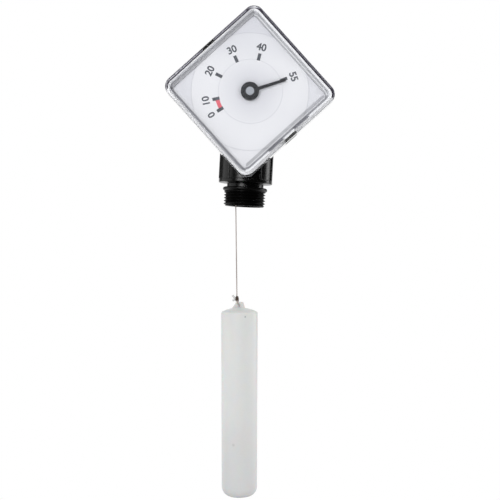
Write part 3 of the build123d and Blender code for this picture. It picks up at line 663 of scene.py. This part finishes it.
dialSettings = {
    "centre": (0.0004, -0.0366, 0.0747),
    "marks": {"0": 214.1, "10": 195.4, "20": 156.36, "30": 117.23, "40": 79.02, "55": 22.7},
    "tickInner": 0.0243,
    "tickOuter": 0.0298,
    "tickWidth": 0.0025,
    "numberRadius": 0.0347,
    "capHeight": 0.0053,
    "capShare": 0.70,  # the height of a capital, of the text's size
    "spacing": 0.98,
    "bolder": 0.00022,
    "numberDrop": 0.0001,
    "numberTurn": {"55": -0.6},
    "proud": 0.00004,
    "redInner": 0.0246,
    "redOuter": 0.0276,
    "redGap": 2.6,
    "redSteps": 12,
    "innerCircle": 0.0246,
}


def tickTree():
    # one bar on each point, pointing away from the dial's centre
    nodes, incoming, w = newTree("dialTicks", {
        "Inner": "Float", "Outer": "Float", "Width": "Float",
        "Proud": "Float", "Centre": "Vector", "Material": "Material",
    })
    position = nodes.add("GeometryNodeInputPosition")
    spread = nodes.scaled(position, (w["Inner"] + w["Outer"]) / 2)
    points = nodes.add("GeometryNodeSetPosition", None, {"Geometry": incoming, "Position": spread})
    length = w["Outer"] - w["Inner"]
    size = nodes.add("ShaderNodeCombineXYZ", None, {"X": length, "Y": w["Proud"], "Z": w["Width"]})
    bar = nodes.add("GeometryNodeMeshCube", None, {"Size": size, "Vertices X": 4, "Vertices Z": 3})
    facing = nodes.add(
        "FunctionNodeAlignRotationToVector", {"axis": "X", "pivot_axis": "Y"}, {"Vector": position},
    )
    bars = nodes.add("GeometryNodeInstanceOnPoints", None, {
        "Points": points, "Instance": bar, "Rotation": facing,
    })
    moved = nodes.add("GeometryNodeTransform", None, {"Geometry": bars, "Translation": w["Centre"]})
    endTree(nodes, moved, w["Material"])
    return nodes


def dialPoint(s, radius, angle, proud=0.0):
    a = math.radians(angle)
    cx, cy, cz = s["centre"]
    return (cx + radius * math.cos(a), cy - proud, cz + radius * math.sin(a))


def makeTicks(s):
    ends = [(math.cos(math.radians(a)), 0.0, math.sin(math.radians(a))) for a in s["marks"].values()]
    cx, cy, cz = s["centre"]
    mesh = bakeTree(tickTree(), faceMesh("ends", ends, []), {
        "Inner": s["tickInner"], "Outer": s["tickOuter"], "Width": s["tickWidth"], "Proud": s["proud"],
        "Centre": (cx, cy - s["proud"] / 2, cz), "Material": darkInk,
    })
    addPiece("dialTicks", mesh, "head")


def makeNumbers(s):
    for word, angle in s["marks"].items():
        text = bpy.data.curves.new("number" + word, "FONT")
        text.body = word
        text.align_x = "CENTER"
        text.align_y = "CENTER"
        text.size = s["capHeight"] / s["capShare"]
        text.extrude = s["bolder"]
        text.bevel_depth = s["bolder"]
        text.bevel_resolution = 1
        text.space_character = s["spacing"]
        mesh = takeMesh(addObject("number", text))
        flat = Matrix.Diagonal((1.0, 1.0, s["proud"] / (4 * s["bolder"]), 1.0))
        stand = Matrix.Rotation(math.pi / 2, 4, "X")
        turn = Matrix.Rotation(-math.radians(angle - 90), 4, "Y")
        x, y, z = dialPoint(s, s["numberRadius"], angle + s["numberTurn"].get(word, 0.0), s["proud"] / 2)
        where = Matrix.Translation((x, y, z - s["numberDrop"]))
        mesh.transform(where @ turn @ stand @ flat)
        mesh.materials.clear()
        mesh.materials.append(darkInk)
        addPiece("number" + word, mesh, "head")


def makeRedBlock(s):
    low, high = s["marks"]["10"] + s["redGap"], s["marks"]["0"] - s["redGap"]
    steps = s["redSteps"]
    verts, faces = [], []
    for n in range(steps + 1):
        angle = low + (high - low) * n / steps
        for radius in (s["redInner"], s["redOuter"]):
            verts.append(dialPoint(s, radius, angle))
            verts.append(dialPoint(s, radius, angle, s["proud"]))
    for n in range(steps):
        a, b = 4 * n, 4 * (n + 1)
        for i, j in ((1, 3), (2, 0), (0, 1), (3, 2)):
            faces.append((a + i, a + j, b + j, b + i))
    faces += [(0, 2, 3, 1), (4 * steps, 4 * steps + 1, 4 * steps + 3, 4 * steps + 2)]
    mesh = faceMesh("red", verts, faces)
    fixNormals(mesh)
    mesh.materials.append(redInk)
    addPiece("redBlock", mesh, "head")


inkLook = grainLook(1500.0, 2.0, (0.036, 0.040, 0.054, 1.0), (0.060, 0.066, 0.084, 1.0), 0.45, 0.1)
redLook = grainLook(1500.0, 2.0, (0.72, 0.100, 0.140, 1.0), (0.80, 0.130, 0.175, 1.0), 0.45, 0.1)
darkInk = makeMaterial("darkInk", {}, inkLook)
redInk = makeMaterial("redInk", {}, redLook)
makeTicks(dialSettings)
makeNumbers(dialSettings)
makeRedBlock(dialSettings)
print("dial printed")


# Looks of the other pieces. The head is a square on one corner, centred at this height.

squareSettings = {
    "height": 0.0745,
    "straight": 0.0385,  # half the straight part of a side
    # the colour of the painted shade lines along the frame
    "shade": (0.060, 0.060, 0.085, 1.0),
    "spanSoft": 0.0006,
}

# painted shade and painted reflections of the dark back plate along the frame: where each line starts and
# ends from the middle, and how dark and soft it is
# the two short bars are painted shade as well
shadeBarSpan = (0.0052, 0.0200)  # where the two short bars run, out from the middle of their side
frameShadeLines = [
    {"side": "lowerLeft", "from": 0.0428, "to": 0.0455, "dark": 0.80, "soft": 0.0009},
    {"side": "lowerRight", "from": 0.0421, "to": 0.0437, "dark": 0.72, "soft": 0.0004},
    {"side": "lowerRight", "from": 0.0422, "to": 0.0449, "dark": 0.86, "soft": 0.0003, "span": shadeBarSpan},
    {"side": "lowerRight", "from": 0.0391, "to": 0.0414, "dark": 0.42, "soft": 0.0004},
    {"side": "upperLeft", "from": 0.0412, "to": 0.0460, "dark": 0.42, "soft": 0.0005},
    {"side": "upperLeft", "from": 0.0432, "to": 0.0440, "dark": 0.40, "soft": 0.0003},
    {"side": "upperRight", "from": 0.0414, "to": 0.0424, "dark": 0.42, "soft": 0.0003},
    {"side": "upperRight", "from": 0.0432, "to": 0.0441, "dark": 0.42, "soft": 0.0003},
]

# the printed circle's line, then painted shade: a line at the plate's rim, the corners beyond it, and the
# dial's middle and top
dialShade = {
    "circleLine": (0.00006, 0.00028),
    "rim": 0.0451,
    "rimShadeLine": (0.0001, 0.0005),
    "cornerSoft": 0.0003,
    "cornerShadeHeights": (0.040, 0.075),
    "middle": (0.0050, 0.0330),
    "shadeTopHeights": (0.095, 0.110),
}

floatShade = {
    "lowShadeHeights": (-0.240, -0.150),
    "smudge": {"across": 0.0018, "up": -0.2015, "radius": 0.0002, "soft": 0.0014},
    "gate": {"across": 0.0057, "up": -0.0997, "radius": 0.0003, "soft": 0.0005},
    "pinch": {"across": 0.0030, "up": -0.0975, "radius": 0.0010, "soft": 0.0040},
}


def squarePlaces(nodes):
    # places along the square's two directions, and how far out on a square with round corners
    s = squareSettings
    x, y, z = nodes.parts(nodes.place())
    up = z - s["height"]
    right = (x + up) * math.sqrt(0.5)
    left = (up - x) * math.sqrt(0.5)
    pastRight = (right.size() - s["straight"]).most(0.0)
    pastLeft = (left.size() - s["straight"]).most(0.0)
    return right, left, (pastRight * pastRight + pastLeft * pastLeft) ** 0.5 + s["straight"]


def lineShade(nodes):
    # how dark the painted shade lines along the frame are at a place
    right, left, far = squarePlaces(nodes)
    sides = {
        "upperRight": (right, left),
        "upperLeft": (left, right),
        "lowerLeft": (0 - right, left),
        "lowerRight": (0 - left, right),
    }
    more = squareSettings["spanSoft"]
    shade = 0.0
    for line in frameShadeLines:
        out, along = sides[line["side"]]
        low, high, soft = line["from"], line["to"], line["soft"]
        band = far.step(low - soft, low + soft) * (1 - far.step(high - soft, high + soft))
        band = band * along.size().less(out) * line["dark"]
        if "span" in line:
            start, end = line["span"]
            band = band * along.size().step(start, start + more) * (1 - along.size().step(end, end + more))
        shade = band.most(shade)
    return shade


def dialLook(nodes):
    s = dialShade
    cx, cy, cz = dialSettings["centre"]
    x, y, z = nodes.parts(nodes.place())
    up = z - squareSettings["height"]
    radius = (x * x + up * up) ** 0.5
    printX = x - cx
    printUp = z - cz
    printRadius = (printX * printX + printUp * printUp) ** 0.5
    ring = 1 - (printRadius - dialSettings["innerCircle"]).size().step(*s["circleLine"])
    # painted shade: a dark line where the dial plate meets the step round it, and the corners beyond the
    # plate, except the lowest, darker as in a recess
    rim = 1 - (radius - s["rim"]).size().step(*s["rimShadeLine"])
    corner = radius.step(s["rim"], s["rim"] + s["cornerSoft"])
    cloud = nodes.noise(30.0, 2.0)
    grain = nodes.noise(2500.0, 2.0)
    face = nodes.blend(cloud, (0.800, 0.796, 0.822, 1.0), (0.835, 0.830, 0.855, 1.0))
    shaded = nodes.blend(corner * 0.5 * z.step(*s["cornerShadeHeights"]), face, (0.70, 0.70, 0.75, 1.0))
    # painted shade: the middle and the top of the dial a little greyer, as the light falls on it; printed
    # below holds this shade and no print
    inner = (1 - printRadius.step(*s["middle"])) * 0.62 + 0.35 * z.step(*s["shadeTopHeights"])
    printed = nodes.blend(inner, shaded, (0.62, 0.62, 0.67, 1.0))
    # the printed circle together with the painted shade line at the plate's rim
    lined = nodes.blend((ring * 0.5).most(rim * 0.35), printed, (0.42, 0.42, 0.47, 1.0))
    return {
        # painted shade lines along the frame over the dial's colour
        "Base Color": nodes.blend(lineShade(nodes), lined, squareSettings["shade"]),
        "Roughness": 0.42 + 0.12 * grain,
        "Normal": nodes.bump(grain, 0.00001),
    }


def trayLook(nodes):
    cloud = nodes.noise(40.0, 2.0)
    grain = nodes.noise(2500.0, 2.0)
    plain = nodes.blend(cloud, (0.78, 0.78, 0.80, 1.0), (0.84, 0.84, 0.86, 1.0))
    return {
        # painted shade lines along the frame over the tray's colour
        "Base Color": nodes.blend(lineShade(nodes), plain, squareSettings["shade"]),
        "Roughness": 0.38 + 0.12 * grain,
        "Normal": nodes.bump(grain, 0.00001),
    }


def spot(nodes, mark):
    # 1 inside a small round mark on the front of the float and 0 outside it
    x, y, z = nodes.parts(nodes.place())
    awayX = x - mark["across"]
    awayZ = z - mark["up"]
    away = (awayX * awayX + awayZ * awayZ) ** 0.5
    return (1 - away.step(mark["radius"], mark["radius"] + mark["soft"])) * y.less(0.0)


def floatLook(nodes):
    # translucent moulding: clouded, with the gate mark near the crown, a faint smudge low down and painted
    # shade over its lower part
    s = floatShade
    cloud = nodes.noise(24.0, 3.0)
    fine = nodes.noise(700.0, 3.0)
    # painted shade: the float darker towards the bottom
    low = 1 - nodes.parts(nodes.place())[2].step(*s["lowShadeHeights"])
    pale = nodes.blend(cloud * 0.7 + fine * 0.3, (0.575, 0.575, 0.565, 1.0), (0.665, 0.665, 0.66, 1.0))
    face = nodes.blend(low * 0.5, pale, (0.50, 0.50, 0.51, 1.0))
    smudged = nodes.blend(spot(nodes, s["smudge"]) * 0.35, face, (0.30, 0.30, 0.30, 1.0))
    return {
        "Base Color": nodes.blend(spot(nodes, s["gate"]) * 0.7, smudged, (0.16, 0.16, 0.15, 1.0)),
        "Roughness": 0.34 + 0.14 * cloud,
        "Normal": nodes.bump(fine * (1 + 3 * spot(nodes, s["pinch"])), 0.00005),
    }


def metalLook(light, dark, rough):
    def look(nodes):
        streak = nodes.noise(1400.0, 3.0)
        cloud = nodes.noise(120.0, 2.0)
        return {
            "Base Color": nodes.blend(cloud, dark, light),
            "Roughness": rough + 0.14 * streak,
            "Normal": nodes.bump(streak, 0.00001),
        }
    return look


def makeClear(name):
    # clear plastic that lets lamps and daylight through to what lies behind it
    material, nodes = bareMaterial(name)
    smear = nodes.noise(60.0, 3.0)
    clear = nodes.add("ShaderNodeBsdfPrincipled", None, {
        "Base Color": (0.975, 0.98, 0.985, 1.0), "Transmission Weight": 1.0, "IOR": 1.49,
        "Roughness": 0.002 + 0.004 * smear,
    })
    path = nodes.add("ShaderNodeLightPath")
    passing = path.out("Is Shadow Ray").most(path.out("Is Diffuse Ray"))
    through = nodes.add("ShaderNodeBsdfTransparent", None, {"Color": (0.94, 0.945, 0.95, 1.0)})
    shader = nodes.add("ShaderNodeMixShader", None, {0: passing, 1: clear, 2: through})
    nodes.add("ShaderNodeOutputMaterial", None, {"Surface": shader})
    return material


zinc = metalLook((0.62, 0.63, 0.65, 1.0), (0.48, 0.49, 0.51, 1.0), 0.3)
brass = metalLook((0.78, 0.60, 0.30, 1.0), (0.66, 0.49, 0.23, 1.0), 0.28)
steel = metalLook((0.55, 0.56, 0.58, 1.0), (0.42, 0.43, 0.45, 1.0), 0.22)
spring = metalLook((0.30, 0.32, 0.38, 1.0), (0.20, 0.22, 0.27, 1.0), 0.25)
gear = grainLook(90.0, 2.0, (0.70, 0.69, 0.63, 1.0), (0.80, 0.79, 0.74, 1.0), 0.35, 0.1)
needle = grainLook(2200.0, 3.0, (0.006, 0.007, 0.010, 1.0), (0.013, 0.014, 0.019, 1.0), 0.40, 0.12, 0.00002)
cap = grainLook(1500.0, 3.0, (0.28, 0.295, 0.33, 1.0), (0.36, 0.38, 0.42, 1.0), 0.30, 0.15, 0.00002)

milky = {"Subsurface Weight": 0.25, "Subsurface Scale": 0.004}

looks = {
    "black_plastic": blackPlastic,
    "seal_rubber": sealRubber,
    "white_plastic": makeMaterial("whitePlastic", {}, trayLook),
    "clear_plastic": makeClear("clearPlastic"),
    "dial_white": makeMaterial("dialWhite", {}, dialLook),
    "zinc_steel": makeMaterial("zincSteel", {"Metallic": 1.0}, zinc),
    "plate_brass": makeMaterial("plateBrass", {"Metallic": 1.0}, brass),
    "arbor_steel": makeMaterial("arborSteel", {"Metallic": 1.0}, steel),
    "spring_steel": makeMaterial("springSteel", {"Metallic": 1.0}, spring),
    "gear_plastic": makeMaterial("gearPlastic", {"Subsurface Weight": 0.1}, gear),
    "pointer_black": makeMaterial("pointerBlack", {"Specular IOR Level": 0.12}, needle),
    "cap_grey": makeMaterial("capGrey", {}, cap),
    "cord_braid": cordBraid,
    "knot_braid": knotBraid,
    "float_plastic": makeMaterial("floatPlastic", milky, floatLook),
}

for part in frame["record"]["subparts"]:
    materials = frame["nodes"][part["node"]].data.materials
    materials.clear()
    materials.append(collarPlastic if part["node"] == "rear_housing" else looks[part["material_slot"]])
print("looks given,", len(looks))


# Clear cover: a deep square lid with rounded edges, notched for the housing's two catches.

coverSettings = {
    "centre": (0.0, squareSettings["height"]),
    "half": 0.048,
    "corner": 0.008,
    "leastCorner": 0.001,
    "cornerSteps": 12,
    "wall": 0.0022,
    "pane": 0.0025,
    "back": -0.0228,
    "front": -0.0448,
    "edge": 0.0012,
    "edgeSteps": 8,
    "innerEdge": 0.0006,
    "innerSteps": 4,
    "rimEdge": 0.0002,
    "rimSteps": 2,
    "notchWidth": 0.0114,
    "notchFront": -0.0375,
    "notchPast": 0.002,
    "notchInner": 0.044,
    "notchOuter": 0.052,
}

# how far beside a rounded edge the flat faces start, so that they shade flat
flatSettings = {"pane": 0.012, "edge": 0.0008, "rim": 0.0004, "inner": 0.0006, "side": 0.001}

# painted reflection on the wall's back rim along the two upper sides: dark, standing for the back plate seen
# through the wall, with a painted lit band beside it
rimSettings = {
    "upper": (0.0440, 0.0456),
    "litFrom": (0.0461, 0.0465),
    "litTo": (0.0469, 0.0473),
    "pale": (0.92, 0.92, 0.94, 1.0),
    "dark": (0.045, 0.040, 0.058, 1.0),
    "lit": (0.50, 0.49, 0.55, 1.0),
}


def coverSection(s, flat):
    # insets from the outer square with their places in Y, from the pane's outer face round to its inner one
    edge, inner, rim = s["edge"], s["innerEdge"], s["rimEdge"]
    front, back, wall = s["front"], s["back"], s["wall"]
    behind = front + s["pane"]
    rows = [(flat["pane"], front), (edge + flat["edge"], front)]
    rows += [(edge - edge * a, front + edge - edge * b) for a, b in quarter(s["edgeSteps"])]
    rows += [(0.0, front + edge + flat["edge"]), (0.0, back - rim - flat["rim"])]
    rows += [(rim - rim * b, back - rim + rim * a) for a, b in quarter(s["rimSteps"])]
    rows += [(wall - rim + rim * a, back - rim + rim * b) for a, b in quarter(s["rimSteps"])]
    rows += [(wall, back - rim - flat["rim"]), (wall, behind + inner + flat["rim"])]
    rows += [(wall + inner - inner * b, behind + inner - inner * a) for a, b in quarter(s["innerSteps"])]
    return rows + [(wall + inner + flat["inner"], behind), (flat["pane"], behind)]


def roundedSquare(half, radius, steps, flat):
    # points round a square, with one near each end of a side so that the sides stay flat
    points = []
    reach = half - radius
    for turn in range(4):
        a = math.pi / 2 * turn
        ring = [(half, reach - flat)]
        ring += [(reach + radius * b, reach + radius * a) for a, b in quarter(steps)]
        ring.append((reach - flat, half))
        points += [(u * math.cos(a) - v * math.sin(a), u * math.sin(a) + v * math.cos(a)) for u, v in ring]
    return points


def onDiamond(s, u, y, v):
    # the square's own two directions run up to the right and up to the left
    share = math.sqrt(0.5)
    return (s["centre"][0] + (u - v) * share, y, s["centre"][1] + (u + v) * share)


def coverShell(s, flat):
    verts, faces = [], []
    rows = coverSection(s, flat)
    for inset, y in rows:
        corner = max(s["corner"] - inset, s["leastCorner"])
        ring = roundedSquare(s["half"] - inset, corner, s["cornerSteps"], flat["side"])
        verts += [onDiamond(s, u, y, v) for u, v in ring]
    count = len(verts) // len(rows)
    for n in range(len(rows) - 1):
        for i in range(count):
            j = (i + 1) % count
            faces.append((n * count + i, n * count + j, (n + 1) * count + j, (n + 1) * count + i))
    faces.append(tuple(range(count)))
    faces.append(tuple(range(len(verts) - count, len(verts))))
    mesh = faceMesh("lid", verts, faces)
    fixNormals(mesh)
    return mesh


def notchBlocks(s):
    # one block through the wall at each catch
    verts, faces = [], []
    half, near, past = s["notchWidth"] / 2, s["notchInner"], s["notchOuter"]
    quads = [(0, 1, 2, 3), (7, 6, 5, 4), (0, 4, 5, 1), (1, 5, 6, 2), (2, 6, 7, 3), (3, 7, 4, 0)]
    for side in (-1, 1):
        base = len(verts)
        for y in (s["back"] + s["notchPast"], s["notchFront"]):
            for u, v in ((-half, near), (half, near), (half, past), (-half, past)):
                verts.append(onDiamond(s, u, y, v * side))
        faces += [tuple(base + i for i in quad) for quad in quads]
    mesh = faceMesh("notches", verts, faces)
    fixNormals(mesh)
    return mesh


def cutAway(mesh, cutter):
    # one mesh less another
    body = addObject("body", mesh)
    tool = addObject("tool", cutter)
    cut = body.modifiers.new("cut", "BOOLEAN")
    cut.operation = "DIFFERENCE"
    cut.solver = "EXACT"
    cut.object = tool
    made = takeMesh(body)
    bpy.data.objects.remove(tool)
    return made


def rimLook(nodes):
    s = rimSettings
    right, left, far = squarePlaces(nodes)
    # painted reflection: the rim dark on the upper sides with a painted lit band, pale elsewhere
    upper = right.most(left).step(*s["upper"])
    lit = far.step(*s["litFrom"]) * (1 - far.step(*s["litTo"]))
    return {"Base Color": nodes.blend(upper, s["pale"], nodes.blend(lit, s["dark"], s["lit"]))}


def makeCover(s):
    mesh = cutAway(coverShell(s, flatSettings), notchBlocks(s))
    mesh.materials.clear()
    mesh.materials.append(looks["clear_plastic"])
    # the back rim's faces carry the painted dark and lit bands
    mesh.materials.append(makeMaterial("rimShade", {"Specular IOR Level": 0.2}, rimLook))
    for face in mesh.polygons:
        face.material_index = int(face.center.y > s["back"] - 0.5 * s["rimEdge"])
    cover = addPiece("clearCover", mesh, "head", 35)
    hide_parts("clear_cover")


makeCover(coverSettings)
print("cover made")


# Studio: a white room whose gloss stays dark in front, so that black parts look black.

stageSettings = {
    "floorZ": -0.300,
    "floorSize": 1.0,
    "patch": 0.10,
    "fade": 0.19,
    "patchWhite": 0.35,
    "floorGrey": 0.80,
    "darkCard": 0.98,
    "behind": (0.0, 0.2),
}

worldSettings = {"lit": 0.75, "gloss": 0.012, "behind": (0.75, 0.92)}

lampSettings = {
    "key": {"at": (-0.47, -1.10, 0.28), "size": (0.55, 0.55), "power": 4.6},
    "card": {"at": (-1.00, 0.05, 0.12), "size": (1.20, 0.90), "power": 2.6},
    "strip": {"at": (0.88, 0.36, 0.12), "size": (0.30, 0.90), "power": 2.6},
    "fill": {"at": (0.95, -0.85, -0.10), "size": (0.70, 0.90), "power": 3.4, "glossy": False},
    "top": {"at": (0.0, 0.1, 1.1), "size": (1.0, 0.8), "power": 4.0},
}


def makeFloor(s):
    half = s["floorSize"]
    corners = [(x, y, s["floorZ"]) for x, y in ((-half, -half), (half, -half), (half, half), (-half, half))]
    floor = addObject("floor", faceMesh("floor", corners, [(0, 1, 2, 3)]))
    material, nodes = bareMaterial("paleFloor")
    x, y, z = nodes.parts(nodes.place())
    far = ((x * x + y * y) ** 0.5).step(s["patch"], s["fade"])
    path = nodes.add("ShaderNodeLightPath")
    straight = path.out("Is Camera Ray").most(path.out("Is Transmission Ray"))
    mirrored = path.out("Is Glossy Ray")
    looked = straight * (s["patchWhite"] + (1 - s["patchWhite"]) * far) + mirrored * (1 - straight)
    matt = nodes.add("ShaderNodeBsdfDiffuse", None, {"Color": grey(s["floorGrey"])})
    level = 1 - mirrored * (1 - y.step(*s["behind"])) * s["darkCard"]
    white = nodes.add("ShaderNodeEmission", None, {"Color": grey(1.0), "Strength": level})
    top = nodes.add("ShaderNodeMixShader", None, {0: looked, 1: matt, 2: white})
    clear = nodes.add("ShaderNodeBsdfTransparent")
    under = nodes.add("ShaderNodeNewGeometry").out("Backfacing")
    shader = nodes.add("ShaderNodeMixShader", None, {0: under, 1: top, 2: clear})
    nodes.add("ShaderNodeOutputMaterial", None, {"Surface": shader})
    floor.data.materials.append(material)


def makeWorld(s):
    world = bpy.data.worlds.new("studio")
    bpy.context.scene.world = world
    world.use_nodes = True
    world.node_tree.nodes.clear()
    nodes = Nodes(world.node_tree)
    path = nodes.add("ShaderNodeLightPath")
    x, y, z = nodes.parts(nodes.add("ShaderNodeTexCoord").out("Generated"))
    mirrored = path.out("Is Glossy Ray")
    seen = path.out("Is Camera Ray").most(path.out("Is Transmission Ray"))
    gloss = s["gloss"] + (1 - s["gloss"]) * y.step(*s["behind"])
    level = seen + (1 - seen) * (mirrored * gloss + (1 - mirrored) * s["lit"])
    light = nodes.add("ShaderNodeBackground", None, {"Color": grey(1.0), "Strength": level})
    nodes.add("ShaderNodeOutputWorld", None, {"Surface": light})


def makeLamps(lamps):
    for name, s in lamps.items():
        data = bpy.data.lights.new(name, "AREA")
        data.shape = "RECTANGLE"
        data.size, data.size_y = s["size"]
        data.energy = s["power"]
        lamp = addObject(name, data)
        aim = Vector((0.0, 0.0, 0.0)) - Vector(s["at"])
        lamp.matrix_world = Matrix.Translation(s["at"]) @ aim.to_track_quat("-Z", "Y").to_matrix().to_4x4()
        lamp.visible_glossy = s.get("glossy", True)


makeFloor(stageSettings)
makeWorld(worldSettings)
makeLamps(lampSettings)
bpy.context.scene.view_settings.view_transform = "Standard"
print("studio lit")
